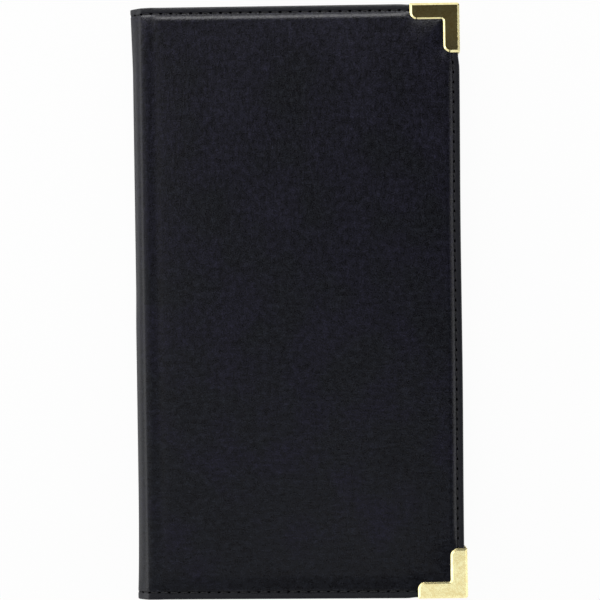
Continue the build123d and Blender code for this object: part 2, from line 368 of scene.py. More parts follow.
def leatherette(name, grain_depth, roughness, creases=0.0, seams=None, rim=None):
    """Black vinyl. Creases, the holes of seams and a rubbed rim are added where a sheet has them."""
    finish = Finish(name)
    place_signal = laid_out(finish)
    grain = noise(finish, place_signal, GRAIN_SIZE, DETAIL, RAGGEDNESS)
    clouds = noise(finish, place_signal, CLOUD_SIZE, DETAIL)
    height, strokes, cast = grain, grain, clouds
    if creases:
        y = axes(finish, place_signal)[1]
        pulled = pulled_creases(finish, place_signal, y, clouds)
        height = grain + creases * pulled
        strokes = 0.5 * (grain + pulled)
        # Darker and more violet towards the top edge: painted shade.
        cast = clouds + TOPWARD_SHADE_DRIFT * y
    speckle = noise(finish, place_signal, SPECKLE_SIZE, roughness=RAGGEDNESS)
    blotch = noise(finish, place_signal, BLOTCH_SIZE, DETAIL, RAGGEDNESS)
    # Random tone, and painted shade where the mottle follows the grain and creases and darkens their hollows.
    tone_and_hollow_shade = CLOUD_SHARE * clouds + BLOTCH_SHARE * blotch + STROKE_SHARE * strokes + SPECKLE_SHARE * speckle
    mottle = shade(finish, tone_and_hollow_shade, *MOTTLE_SPAN)
    pale_tone = mix(finish, shade(finish, cast, *TINT_SPAN), PALE_INK, VIOLET_INK)
    tone = mix(finish, mottle * mottle, INK, pale_tone)
    if rim:
        tone = mix(finish, rim(finish), tone, RUBBED_INK)
    if seams:
        holes = seams(finish)
        height = height - HOLE_DEPTH * holes
    sockets = {
        "Base Color": tone,
        "Roughness": roughness - ROUGHNESS_SWING / 2 + ROUGHNESS_SWING * mottle,
        "IOR": VINYL_IOR,
        "Normal": bump(finish, height, grain_depth),
    }
    shader = finish.node("ShaderNodeBsdfPrincipled", {}, sockets)["BSDF"]
    if seams:
        # The needle holes are painted nearly black and matt: painted shade.
        pit = finish.node("ShaderNodeBsdfDiffuse", {}, {"Color": PAINTED_HOLE_SHADE})["BSDF"]
        shader = finish.node("ShaderNodeMixShader", {}, {0: holes, 1: shader, 2: pit})["Shader"]
    return finish.surface(shader)


# %% [markdown]
# ## Needle holes
#
# A sewing needle leaves a pit at each end of a stitch, dark with shade. The pits lie on straight lines at an
# even pitch, so a few sums on the place give the distance to the nearest one, and no mesh has to be cut so
# finely. Each pit is painted nearly black and matt, which is painted shade.

# %% Needle holes along the three seams
STITCH_PITCH = 4.2
ALONG_WEIGHT, ACROSS_WEIGHT, HOLE_EDGE = 0.30, 1.6, (0.30, 0.60)
RUBBED_SPAN = (-0.2, 1.2)
seam_y = HALF_LENGTH - SEAM_INSET
seam_u = REACH - SEAM_INSET
arm_u = REACH + METAL_THICKNESS - METAL_ARM
arm_y = HALF_LENGTH + METAL_THICKNESS - METAL_ARM


def even_pitch(length):
    """The pitch nearest to the usual one that divides a seam evenly."""
    return length / round(length / STITCH_PITCH)


def needle_hole(finish, along, across):
    """1 within a needle hole and 0 away from it, from two distances in millimetres."""
    distance = (ALONG_WEIGHT * along * along + ACROSS_WEIGHT * across * across).root()
    return step(finish, distance, *HOLE_EDGE, start=1.0, end=0.0)


def cover_holes(finish):
    """The needle holes of a cover's three seams, which run on across the fold."""
    u, y, _ = axes(finish, laid_out(finish))
    end_pitch, free_pitch = even_pitch(arm_u), even_pitch(2 * arm_y)
    fold_pitch = -fold_end / 2
    even_u = u * ((u < 0) * (end_pitch / fold_pitch - 1) + 1)
    end_seams = needle_hole(finish, even_u.zigzag(end_pitch / 2), abs(y) - seam_y)
    free_seam = needle_hole(finish, (y + arm_y).zigzag(free_pitch / 2), u - seam_u)
    return end_seams.larger(free_seam)


def rubbed_rim(finish):
    """1 outside the seams, where hands and tables rub the turned edges, and 0 on the panel."""
    u, y, _ = axes(finish, laid_out(finish))
    return step(finish, (u - seam_u).larger(abs(y) - seam_y), *RUBBED_SPAN)


cover_leather = leatherette(
    "padded_leatherette", grain_depth=0.10, roughness=0.335, creases=0.8, seams=cover_holes, rim=rubbed_rim
)
lining_leather = leatherette("lining_leatherette", grain_depth=0.030, roughness=0.50, seams=cover_holes)
pocket_leather = leatherette("pocket_leatherette", grain_depth=0.030, roughness=0.48)

# %% [markdown]
# ## Brass
#
# The corner guards are pressed from thin sheet, polished and lacquered: nearly a mirror, with a little haze,
# faint stains and tiny rolling marks. A plain metal shader looks like plastic foil here, because nothing on
# it breaks the reflection, so three weak noises do.

# %% The brass finish
DULL_BRASS, BRIGHT_BRASS = rgb(0.78, 0.66, 0.32), rgb(0.92, 0.86, 0.48)
STAIN_SIZE, MARK_SIZE, HAZE_SIZE = 0.9, 1.0, 3.0
MARK_TURN, MARK_SQUEEZE, STAIN_SPAN = 0.8, (0.4, 3.0, 1.0), (0.40, 0.60)
HAZE_IN_STAINS, HAZE_IN_MARKS = 0.4, 0.7
BRASS_ROUGHNESS, HAZE_ROUGHNESS, BRASS_DEPTH = 0.10, 0.03, 0.004


def polished_brass():
    finish = Finish("polished_brass")
    place_signal = own_place(finish)
    haze = noise(finish, place_signal, HAZE_SIZE, DETAIL)
    rolling = noise(finish, stretched(finish, place_signal, MARK_TURN, MARK_SQUEEZE), MARK_SIZE)
    spots = noise(finish, place_signal, STAIN_SIZE, roughness=0.7)
    stains = HAZE_IN_STAINS * haze + (1 - HAZE_IN_STAINS) * spots
    marks = HAZE_IN_MARKS * haze + (1 - HAZE_IN_MARKS) * rolling
    sockets = {
        "Base Color": mix(finish, shade(finish, stains, *STAIN_SPAN), DULL_BRASS, BRIGHT_BRASS),
        "Metallic": 1.0,
        "Roughness": BRASS_ROUGHNESS + HAZE_ROUGHNESS * haze,
        "Normal": bump(finish, marks, BRASS_DEPTH),
    }
    return finish.surface(finish.node("ShaderNodeBsdfPrincipled", {}, sockets)["BSDF"])


brass = polished_brass()

# %% [markdown]
# ## Thread and what the covers hide
#
# Bonded thread is matt and as black as the leatherette, with a faint shine on its plies. Grey board and foam
# show only as a line at most. One plain finish of two close colours serves them all.

# %% The matt finishes
HEM_SHADES = INK, PALE_INK
THREAD_SHADES = rgb(0.003, 0.003, 0.004), rgb(0.010, 0.010, 0.012)
BOARD_SHADES = rgb(0.34, 0.33, 0.29), rgb(0.46, 0.44, 0.39)
FOAM_SHADES = rgb(0.70, 0.68, 0.60), rgb(0.85, 0.83, 0.76)
GRAIN_SHINE = 0.15


def plain_grain(name, shades, size, depth, roughness, place_of=laid_out):
    """A matt finish of two close colours, with grain of a size and a depth in millimetres."""
    finish = Finish(name)
    grain = noise(finish, place_of(finish), size, DETAIL)
    sockets = {
        "Base Color": mix(finish, grain, *shades),
        "Roughness": roughness - GRAIN_SHINE * grain,
        "Normal": bump(finish, grain, depth),
    }
    return finish.surface(finish.node("ShaderNodeBsdfPrincipled", {}, sockets)["BSDF"])


thread = plain_grain("bonded_thread", THREAD_SHADES, size=0.2, depth=0.01, roughness=0.6)
hem_leather = plain_grain(
    "hem_leatherette", HEM_SHADES, size=0.5, depth=0.02, roughness=0.6, place_of=own_place
)
grey_board = plain_grain("grey_board", BOARD_SHADES, size=0.6, depth=0.03, roughness=0.95)
foam = plain_grain("foam_sheet", FOAM_SHADES, size=0.35, depth=0.10, roughness=0.98)

# %% [markdown]
# ## Building a sheet
#
# Every soft piece here is a thin sheet with two faces. A Solidify modifier would make them parallel, but here
# the faces differ: one is padded and the other lies on the board. So one builder takes the points of both
# faces on the same rows and columns, joins them round the rim into one closed mesh, and keeps each point's
# place on the sheet for the finish. Rows are close together only where the surface bends sharply.

# %% The sheet builder
def rows(*stops):
    """Values from stop to stop; each stop after the first is (value, spacing)."""
    values = [float(stops[0])]
    for value, spacing in stops[1:]:
        count = max(1, round(abs(value - values[-1]) / spacing))
        values += list(np.linspace(values[-1], value, count + 1)[1:])
    return np.array(values)


def mirrored(half):
    """Rows on both sides of the middle, from those on one side that start at 0."""
    return np.concatenate([-half[:0:-1], half])


def mesh_piece(name, points, faces, sheet_places, finish):
    """A smooth mesh object whose points remember their place on the sheet."""
    mesh = bpy.data.meshes.new(name)
    mesh.from_pydata(points.tolist(), [], faces.tolist())
    places = mesh.attributes.new(LAID_OUT, "FLOAT_VECTOR", "POINT")
    places.data.foreach_set("vector", sheet_places.astype(np.float32).ravel())
    mesh.shade_smooth()
    mesh.materials.append(finish)
    piece = bpy.data.objects.new(name, mesh)
    bpy.context.scene.collection.objects.link(piece)
    return piece


def sheet_piece(name, side, u, y, face_level, back_level, finish):
    """A closed sheet of a cover between two levels, each given on the grid of u and y."""
    both_faces = [place(side, u, y, level).reshape(-1, 3) for level in (face_level, back_level)]
    count = u.size
    index = np.arange(count).reshape(u.shape)
    quads = np.stack([index[:-1, :-1], index[1:, :-1], index[1:, 1:], index[:-1, 1:]], -1).reshape(-1, 4)
    rim = np.concatenate([index[:-1, 0], index[-1, :-1], index[:0:-1, -1], index[0, :0:-1]])
    after = np.roll(rim, -1)
    walls = np.stack([after, rim, rim + count, after + count], -1)
    faces = np.concatenate([quads, quads[:, ::-1] + count, walls])
    outwards = np.mean(face_level) > np.mean(back_level)
    if outwards != (COVERS[side] > 0):
        faces = faces[:, ::-1]
    sheet_places = np.tile(np.stack([u, y, np.zeros(u.shape)], -1).reshape(-1, 3), (2, 1))
    print(f"{name}: {len(faces)} faces")
    return mesh_piece(name, np.concatenate(both_faces), faces, sheet_places, finish)


# %% [markdown]
# ## The padded skin
#
# Foam under leatherette swells to a panel with round shoulders. It stands back from the seam on three
# sides, steps round the metal corners, and fades out softly towards the fold, where no seam holds it down.
# A cloth simulation could blow it up, but this foam is thin and glued flat, so it can't billow: distances to
# those edges, joined by a smooth minimum, give one height for the whole cover.

# %% Distances on the cover
ARM_ROUNDING = 3.1


def soft_minimum(first, second, blend):
    """The smaller of two distances, with a rounded change between them."""
    near = np.clip(blend - np.abs(first - second), 0, None) / blend
    return np.minimum(first, second) - near * near * blend / 4


def end_distance(y, margin=0.0):
    """Distance inwards from the top edge or the foot, or from a line at a margin from it."""
    return HALF_LENGTH - margin - np.abs(y)


def metal_distance(u, y):
    """Distance from the nearest metal corner, in millimetres."""
    across = REACH + METAL_THICKNESS - u
    down = HALF_LENGTH + METAL_THICKNESS - np.abs(y)
    arms = []
    for width, length in ((METAL_WIDTH, METAL_ARM), (METAL_ARM, METAL_WIDTH)):
        a, b = across - width + ARM_ROUNDING, down - length + ARM_ROUNDING
        outside = np.hypot(np.clip(a, 0, None), np.clip(b, 0, None))
        arms.append(outside + np.clip(np.maximum(a, b), None, 0) - ARM_ROUNDING)
    return np.minimum(*arms)


# %% The joint beside the fold
PAD_MARGIN, PAD_HEIGHT, PAD_START, CROWN = 3.2, PAD_LEVEL - RIM_LEVEL, 5.0, 0.95
TENT_WIDTH, JOINT_END = 3.0, (0, 4)
CREASE_DROP, CREASE_WIDTH, GUTTER_DEPTH, GUTTER_WIDTH = 0.30, 2.4, 0.11, 2.6


def joint_rise(u, y):
    """How far the unpadded joint and the fold stand up between their two end seams."""
    inwards = np.clip(end_distance(y, PAD_MARGIN), 0, None)
    return (PAD_HEIGHT - CROWN) * (1 - np.exp(-inwards / TENT_WIDTH)) * np.cos(fold_turn(u)) ** 2


def hinge_dip(u, y):
    """The skin rounds off into the fold and sinks a little in the joint beside the board."""
    crease = CREASE_DROP * (1 - np.clip(u / CREASE_WIDTH, 0, 1)) ** 2 * np.cos(fold_turn(u)) ** 2
    gutter = GUTTER_DEPTH * np.exp(-(((u - PAD_START) / GUTTER_WIDTH) ** 2))
    return (crease + gutter) * smooth(end_distance(y, PAD_MARGIN), *JOINT_END)


# %% The height of the padding
PAD_RAMP, PAD_FADE, PAD_EDGE = 14.0, (-1.0, 2.5), (PAD_START - 0.5, PAD_START + 2.0)
SHOULDER_WIDTH, FOOT_SHOULDER, FOOT_PART, CROWN_WIDTH = 3.1, 7.5, (112, 118), 22.0
LIP_SHARE, LIP_EDGE, LIP_RAMP = 0.36, (-1.2, -0.1), 4.0
SEAM_BLEND, METAL_BLEND = 2.0, 1.0


def pad_rise(u, y):
    """How far the padding lifts the skin."""
    edge = soft_minimum(REACH - PAD_MARGIN - u, end_distance(y, PAD_MARGIN), SEAM_BLEND)
    width = SHOULDER_WIDTH + (FOOT_SHOULDER - SHOULDER_WIDTH) * smooth(-y, *FOOT_PART)
    near = np.clip(edge / width, 0, 1)
    metal = metal_distance(u, y)
    climb = 1 - np.exp(-np.clip(metal, 0, None) / LIP_RAMP)
    beside_metal = LIP_SHARE * smooth(metal, *LIP_EDGE) + (1 - LIP_SHARE) * climb
    shoulder = (1 - (1 - near) ** 2) * beside_metal
    ramp = np.clip(u - PAD_START, 0, None)
    fade = (1 - np.exp(-ramp / PAD_RAMP)) * smooth(ramp, *PAD_FADE)
    inwards = np.clip(soft_minimum(edge, metal, METAL_BLEND), 0, None)
    crown = CROWN * (1 - np.exp(-inwards / CROWN_WIDTH)) * fade
    padded = smooth(u, *PAD_EDGE)
    return joint_rise(u, y) * (1 - padded) + (PAD_HEIGHT - CROWN) * shoulder * padded + crown


print(f"the padding rises {pad_rise(REACH / 2, 0.0):.2f} mm in the middle of the panel")

# %% [markdown]
# ## The skin's two faces
#
# A seam draws the skin down into a shallow groove, the sheet rounds off where it is turned over the board's
# edge, and a large flat panel is never quite flat. Sculpting would do that by eye. A handful of long, low
# waves in random directions gives the same slight unevenness, and it can be changed in one place.

# %% Unevenness, grooves and turned edges
WAVE_COUNT, WAVE_SLENDERNESS, SEED = 14, 3500, 11
WAVE_LENGTHS, WAVE_HEADINGS, WAVE_PHASES = (16, 70), (0, math.pi), (0, 6.3)
WAVE_SPANS = WAVE_LENGTHS, WAVE_HEADINGS, WAVE_PHASES
rng = np.random.default_rng(SEED)
WAVES = [[rng.uniform(*span) for span in WAVE_SPANS] for _ in range(WAVE_COUNT)]
GROOVE_DEPTH, GROOVE_WIDTH, RIM_FALL = 0.20, 0.50, 0.20
EDGE_RADIUS, FOLD_EDGE_RADIUS, FOLD_EDGE = 0.65, 0.36, (4.9, 7)


def unevenness(u, y):
    """Waves of about a tenth of a millimetre in all."""
    total = 0
    for length, heading, phase in WAVES:
        run = u * math.cos(heading) + y * math.sin(heading)
        total = total + length / WAVE_SLENDERNESS * np.sin(2 * math.pi * run / length + phase)
    return total


def groove(u, y):
    """The depth of the seams' grooves."""
    ends = np.exp(-(((np.abs(y) - seam_y) / GROOVE_WIDTH) ** 2))
    free = np.exp(-(((u - seam_u) / GROOVE_WIDTH) ** 2))
    return GROOVE_DEPTH * np.maximum(ends, free)


def rounding(distance, radius):
    """How far a rounded edge has dropped at a distance inwards from its rim."""
    depth = np.clip(distance, 0, radius)
    return radius - np.sqrt(np.clip(radius**2 - (radius - depth) ** 2, 0, None))


def edge_drop(u, y):
    """The rounding of the turned edges, which is tighter at the ends of the fold."""
    radius = FOLD_EDGE_RADIUS + (EDGE_RADIUS - FOLD_EDGE_RADIUS) * smooth(u, *FOLD_EDGE)
    return rounding(np.minimum(REACH - u, end_distance(y)), radius)


def rim_slope(u, y):
    """The rim falls away a little towards the turned edge."""
    outside = 1 - np.clip(np.minimum(REACH - u, end_distance(y)) / SEAM_INSET, 0, 1)
    return RIM_FALL * outside**2


# %% The skin's outer and inner level
JOINT_STEP = (4.4, 5.2)


def skin_outer(u, y):
    rise = pad_rise(u, y)
    dips = groove(u, y) + edge_drop(u, y) + rim_slope(u, y) + hinge_dip(u, y)
    return RIM_LEVEL + rise - dips + unevenness(u, y) * rise / PAD_HEIGHT


def skin_inner(u, y):
    return FOLD_MIDDLE - (FOLD_MIDDLE - TURN_IN_FACE) * smooth(u, *JOINT_STEP) + edge_drop(u, y)


print(f"the seam lies {RIM_LEVEL - skin_outer(seam_u, 0.0):.2f} mm below the rim's level")

# %% [markdown]
# ## The skin's grid
#
# The grid lines crowd together at the shoulders, the seams and the turned edges, and stay far apart on the
# panel. A Subdivision modifier would make them close everywhere, with many times as many faces. The two free
# corners of the plan are rounded by pulling their square of points onto a quarter disc.

# %% Make the two skins
CORNER_ROUNDING, EDGE_LINES = 1.2, 6
edge_insets = np.array([EDGE_RADIUS * (1 - math.sin(a)) for a in np.linspace(0, math.pi / 2, EDGE_LINES)[1:]])


def round_corners(u, y):
    """Plan positions with the free corners' squares pulled onto quarter discs."""
    a = np.clip(u - (REACH - CORNER_ROUNDING), 0, None)
    b = np.clip(np.abs(y) - (HALF_LENGTH - CORNER_ROUNDING), 0, None)
    both = (a > 0) & (b > 0)
    shrink = np.where(both, np.maximum(a, b) / np.where(both, np.hypot(a, b), 1), 1)
    return u - a * (1 - shrink), y - np.sign(y) * b * (1 - shrink)


# Outwards from the middle of the fold and of its length; the close rows are at the shoulders and seams.
u_rows = rows(
    fold_end, (0, 0.36), (5, 0.6), (14, 0.75), (111, 2.0), (116, 0.4), (126, 0.9),
    (128.6, 0.22), (131.7, 0.17), (133.3, 0.22), (REACH - EDGE_RADIUS, 0.4),
)
half_rows = rows(
    0, (102, 2.0), (107, 0.4), (117, 0.9), (119.8, 0.22), (122.9, 0.17), (124.6, 0.22),
    (HALF_LENGTH - EDGE_RADIUS, 0.4),
)
u_rows = np.concatenate([u_rows, REACH - edge_insets])
half_rows = np.concatenate([half_rows, HALF_LENGTH - edge_insets])
u_grid, y_grid = np.meshgrid(u_rows, mirrored(half_rows), indexing="ij")
plan_u, plan_y = round_corners(u_grid, y_grid)

skins = {}
for side in COVERS:
    levels = skin_outer(u_grid, y_grid), skin_inner(u_grid, y_grid)
    skins[side] = sheet_piece(f"{side}_leatherette", side, plan_u, plan_y, *levels, cover_leather)

# %% [markdown]
# ## The boards
#
# A grey board stiffens each cover, from the joint beside the fold to just inside the turned edges. A plain
# box would poke out where the skin's edge wanders, so it is laid out with the same function as the skin.

# %% Make the two boards
BOARD_FACE, BOARD_BACK, SKIN_THICKNESS = 2.4, 3.9, 0.8
board_u, board_y = np.meshgrid(
    rows(BOARD_START, (100, 8), (REACH - SKIN_THICKNESS, 2)),
    rows(SKIN_THICKNESS - HALF_LENGTH, (HALF_LENGTH - SKIN_THICKNESS, 4)),
    indexing="ij",
)
boards = {}
for side in COVERS:
    levels = BOARD_BACK, BOARD_FACE
    boards[side] = sheet_piece(f"{side}_stiff_board", side, board_u, board_y, *levels, grey_board)

# %% [markdown]
# ## The foam
#
# Under the skin lies a sheet of soft foam, cut with a notch for each metal corner and squeezed flat wherever
# the skin is drawn down. A plain slab would stick out through the shoulders, so its upper face follows the
# inside of the skin.

# %% Make the two foam sheets
FOAM_BASE, FOAM_START, FOAM_INSET, FOAM_SLACK, FOAM_LEAST = 3.92, 7.0, 0.6, 0.05, 0.1
ARM_CLEARANCE, PAD_CLEARANCE, NOTCH_STEP, FOAM_COLUMNS = 1.6, 0.35, 0.4, 60
NOTCH_U = REACH + METAL_THICKNESS - METAL_WIDTH - PAD_CLEARANCE - FOAM_INSET
NOTCH_Y = HALF_LENGTH + METAL_THICKNESS - METAL_WIDTH - PAD_CLEARANCE - FOAM_INSET
foam_u, foam_y = REACH - PAD_MARGIN - FOAM_INSET, HALF_LENGTH - PAD_MARGIN - FOAM_INSET


def foam_reach(y):
    """Where the foam ends beside each line across the cover, stepping round the metal corners."""
    first = smooth(np.abs(y), arm_y - ARM_CLEARANCE, arm_y - ARM_CLEARANCE + NOTCH_STEP)
    second = smooth(np.abs(y), NOTCH_Y - NOTCH_STEP, NOTCH_Y)
    return foam_u - (foam_u - NOTCH_U) * first - (NOTCH_U - arm_u + ARM_CLEARANCE) * second


foam_half = rows(0, (arm_y - 2, 2.0), (arm_y - 1, 0.2), (NOTCH_Y - 0.6, 2.0), (NOTCH_Y, 0.15), (foam_y, 0.6))
share_grid, foam_y_grid = np.meshgrid(rows(0, (1, 1 / FOAM_COLUMNS)), mirrored(foam_half), indexing="ij")
foam_u_grid = FOAM_START + share_grid * (foam_reach(foam_y_grid) - FOAM_START)
foams = {}
for side in COVERS:
    top = skin_outer(foam_u_grid, foam_y_grid) - SKIN_THICKNESS - FOAM_SLACK
    levels = np.maximum(top, FOAM_BASE + FOAM_LEAST), FOAM_BASE
    foams[side] = sheet_piece(f"{side}_foam_sheet", side, foam_u_grid, foam_y_grid, *levels, foam)

# %% [markdown]
# ## The lining
#
# One thin sheet covers the inside. It hides the turned-in skin except for a narrow rim, and it steps down
# where the board begins, because nothing stiffens the joint beside the fold. The skin's own inner face could
# stand in for it, but the rim between the two is what shows that a presenter is lined.

# %% Make the two linings
LINING_END, LINING_HALF = REACH - LINING_MARGIN, HALF_LENGTH - LINING_MARGIN
LINING_ROUNDING, LINING_STEP, LINING_GROOVE = 0.2, (4.0, 5.0), 0.5


def lining_step(u, on_board, in_fold):
    return in_fold - (in_fold - on_board) * smooth(u, *LINING_STEP)


def lining_drop(u, y):
    """The pressed-down rim of the lining."""
    return rounding(np.minimum(LINING_END - u, LINING_HALF - np.abs(y)), LINING_ROUNDING)


def lining_inner(u, y):
    """The face that shows when the presenter is open."""
    return lining_step(u, LINING_FACE, FOLD_INNER) + lining_drop(u, y) + LINING_GROOVE * groove(u, y)


u_lining = rows(
    fold_end, (0, 0.36), (3.9, 0.6), (5.1, 0.2), (131, 2.5), (LINING_END - 0.3, 0.3), (LINING_END, 0.1)
)
half_lining = rows(0, (122, 2.5), (LINING_HALF - 0.3, 0.3), (LINING_HALF, 0.1))
lining_u, lining_y = np.meshgrid(u_lining, mirrored(half_lining), indexing="ij")

linings = {}
for side in COVERS:
    back_level = lining_step(lining_u, TURN_IN_FACE, FOLD_MIDDLE) - lining_drop(lining_u, lining_y)
    levels = lining_inner(lining_u, lining_y), back_level
    linings[side] = sheet_piece(f"{side}_inner_lining", side, lining_u, lining_y, *levels, lining_leather)

# %% [markdown]
# ## Stitches
#
# A lockstitch shows as a short length of two-ply thread between two needle holes. Each stitch is the same
# small twisted pair of strands: it rises out of one hole, lies in the groove and dives into the next. An
# array along a curve would float above the padded skin, so each point's height comes from the skin's own
# level. The same holes serve both faces of a cover.

# %% One stitch
PLY_RADIUS, PLY_OFFSET, PLY_TURNS = 0.15, 0.11, 1.5
PATH_STEPS, RING_STEPS = 8, 5
STITCH_RISE, STITCH_SINK, STITCH_GAP = 0.46, 0.34, 0.05


def stitch_points(start, end):
    """Plan points and heights of one stitch's two strands, from hole to hole."""
    run = end - start
    length = np.hypot(*run)
    forward, aside = run / length, np.array([-run[1], run[0]]) / length
    t = np.linspace(0, 1, PATH_STEPS)[None, :, None]
    ring = np.linspace(0, 2 * math.pi, RING_STEPS, endpoint=False)[None, None, :]
    ply = np.array([0, math.pi])[:, None, None]
    twist = ply + 2 * math.pi * PLY_TURNS * t
    sideways = PLY_OFFSET * np.cos(twist) + PLY_RADIUS * np.cos(ring)
    lift = STITCH_RISE * np.sin(math.pi * t) ** 0.5 - STITCH_SINK
    height = lift + PLY_OFFSET * np.sin(twist) + PLY_RADIUS * np.sin(ring)
    along = (STITCH_GAP + (1 - 2 * STITCH_GAP) * t) * length + 0 * ring
    plan = start + along[..., None] * forward + sideways[..., None] * aside
    return plan.reshape(-1, 2), height.ravel()


def stitch_faces():
    """The quads of one stitch's two strands."""
    index = np.arange(2 * PATH_STEPS * RING_STEPS).reshape(2, PATH_STEPS, RING_STEPS)
    after = np.roll(index, -1, axis=2)
    quads = [index[:, :-1], after[:, :-1], after[:, 1:], index[:, 1:]]
    return np.stack(quads, -1).reshape(-1, 4)


# %% The seam builder
def stitches_along(*corners):
    """Hole-to-hole ends of the stitches of a seam that runs straight from corner to corner."""
    stitches = []
    for start, end in zip(corners[:-1], corners[1:]):
        start, end = np.array(start, float), np.array(end, float)
        count = round(np.hypot(*(end - start)) / STITCH_PITCH)
        holes = start + (end - start) * np.linspace(0, 1, count + 1)[:, None]
        stitches += zip(holes[:-1], holes[1:])
    return stitches


def seam(name, side, stitches, level_at, upwards):
    """All stitches of a seam. level_at gives the surface, and upwards is -1 on an inner face."""
    plans, heights = zip(*(stitch_points(*ends) for ends in stitches))
    u, y = np.concatenate(plans).T
    points = place(side, u, y, level_at(u, y) + upwards * np.concatenate(heights))
    one = stitch_faces()
    points_each = 2 * PATH_STEPS * RING_STEPS
    faces = np.concatenate([one + points_each * number for number in range(len(stitches))])
    if COVERS[side] * upwards < 0:
        faces = faces[:, ::-1]
    print(f"{name}: {len(stitches)} stitches")
    return mesh_piece(name, points, faces, np.stack([u, y, 0 * u], -1), thread)


# %% Sew the covers
edge_stitches = stitches_along((seam_u, -arm_y), (seam_u, arm_y))
for y in (seam_y, -seam_y):
    edge_stitches += stitches_along((fold_end, y), (0, y), (arm_u, y))

seams = {}
for side in COVERS:
    seams[side] = [
        seam(f"{side}_seam_thread", side, edge_stitches, skin_outer, 1),
        seam(f"{side}_inner_seam_thread", side, edge_stitches, lining_inner, -1),
    ]

# %% [markdown]
# ## Pockets
#
# Each pocket is a flat sheet sewn down on three sides, with its mouth towards the top edge. The folded hems
# under its edges are solids of the frame already. A solid's edges are too crisp for cloth-backed vinyl, so
# the sheet is rebuilt here with soft edges, a pressed fold along its mouth and, on the card pocket, a thumb
# notch.

# %% Make the pockets
POCKET_FACE, POCKET_THICKNESS, POCKET_SEAM, POCKET_ROUNDING = 0.4, 0.6, 1.8, 0.25
MOUTH_FOLD, NOTCH_RADIUS, NOTCH_PART = 7.0, 10.0, (0.35, 1.0)
SEAM_DIP, FOLD_DIP, DIP_WIDTH, THREAD_LIFT = 0.15, 0.10, 0.5, 0.15
MARGIN, MOUTH_MARGIN, RIM_STRIP, OPEN_STEP, MARGIN_STEP, RIM_STEP = 3, 9, 0.3, 2.0, 0.3, 0.1
POCKETS = {"receipt_pocket": "front", "card_pocket": "front", "check_pocket": "back"}


def pocket_rows(low, high, high_margin):
    """Rows across a pocket: wide apart in the middle, closer in its two margins and closest at the rim."""
    rising = (low + RIM_STRIP, RIM_STEP), (low + MARGIN, MARGIN_STEP), (high - high_margin, OPEN_STEP)
    return rows(low, *rising, (high - RIM_STRIP, MARGIN_STEP), (high, RIM_STEP))


def pocket_sheet(name, side):
    low, high = (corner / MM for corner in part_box(name))
    u_low, u_high = low.x - fold_x, high.x - fold_x
    u_lines, y_lines = pocket_rows(u_low, u_high, MARGIN), pocket_rows(low.y, high.y, MOUTH_MARGIN)
    u, y = np.meshgrid(u_lines, y_lines, indexing="ij")
    y_cut = y
    if name == "card_pocket":
        notch = np.sqrt(np.clip(NOTCH_RADIUS**2 - np.abs(u - (u_low + u_high) / 2) ** 2, 0, None))
        y_cut = y - notch * smooth((y - low.y) / (high.y - low.y), *NOTCH_PART) ** 2
    sewn = np.minimum.reduce([u - u_low, u_high - u, y - low.y])
    drop = rounding(np.minimum(sewn, high.y - y), POCKET_ROUNDING)
    dip = SEAM_DIP * np.exp(-(((sewn - POCKET_SEAM) / DIP_WIDTH) ** 2))
    dip = dip + FOLD_DIP * np.exp(-(((high.y - y - MOUTH_FOLD) / DIP_WIDTH) ** 2))
    levels = POCKET_FACE + drop + dip, POCKET_FACE + POCKET_THICKNESS - drop
    return sheet_piece(f"{name}_sheet", side, u, y_cut, *levels, pocket_leather)


def pocket_thread(name, side):
    low, high = (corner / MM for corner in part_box(name))
    left, right, foot = low.x - fold_x + POCKET_SEAM, high.x - fold_x - POCKET_SEAM, low.y + POCKET_SEAM
    stitches = stitches_along((left, high.y), (left, foot), (right, foot), (right, high.y))
    return seam(f"{name}_thread", side, stitches, lambda u, y: POCKET_FACE + THREAD_LIFT, -1)


pockets = {name: (pocket_sheet(name, side), pocket_thread(name, side)) for name, side in POCKETS.items()}

# %% [markdown]
# ## Which body carries what
#
# The fold is one soft strip, and its front and back halves meet in the middle. The pieces that cross it,
# the skins, linings and seams, hang on no body: their places are only baked into their meshes. Everything
# else rides on its cover.

# %% Hang the pieces on the bodies
def bend_over_fold(piece, side, radius):
    """Bakes the piece's place into its mesh. The points at the spine and at the cover go unused."""
    at_spine = place(side, fold_end, 0.0, radius)
    at_cover = place(side, 0.0, 0.0, radius)
    if side == "front":
        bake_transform(piece)
    else:
        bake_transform(piece)


for side in COVERS:
    for piece in (skins[side], linings[side], *seams[side]):
        bend_over_fold(piece, side, FOLD_INNER if piece is linings[side] else FOLD_MIDDLE)
    for piece in seams[side]:
        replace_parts(piece, f"{side}_edge_stitching", "spine_stitching")
    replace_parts(skins[side], f"{side}_skin", "spine_skin")
    for piece, slot, solid in ((foams[side], "foam", "foam_pad"), (boards[side], "board", "board")):
        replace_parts(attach(piece, f"{side}_cover"), f"{side}_{solid}")
    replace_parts(linings[side], f"{side}_lining", "spine_lining")

for name, (sheet, threads) in pockets.items():
    body = f"{POCKETS[name]}_cover"
    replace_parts(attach(sheet, body), name)
    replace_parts(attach(threads, body), f"{name}_stitching")

# %% Give the solids their finishes
SOLID_FINISHES = {"corner": brass, "hem": hem_leather}
SHARP_ANGLE = math.radians(28)
for name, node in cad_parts.items():
    for word, finish in SOLID_FINISHES.items():
        if word in name:
            node.data.materials.clear()
            node.data.materials.append(finish)
            if word == "corner":
                node.data.shade_smooth()
                node.data.set_sharp_from_angle(angle=SHARP_ANGLE)
            print(f"{name}: {finish.name}")

# %% [markdown]
# ## The table
#
# The presenter lies on a white table. A white surface under real lamps is never evenly white, so the camera
# mostly sees a plain glow, and a small share of lit paper keeps the presenter's shadow. Brass and the gloss
# of the leather see less of that glow towards the left and the far side, as if that part were in shade.

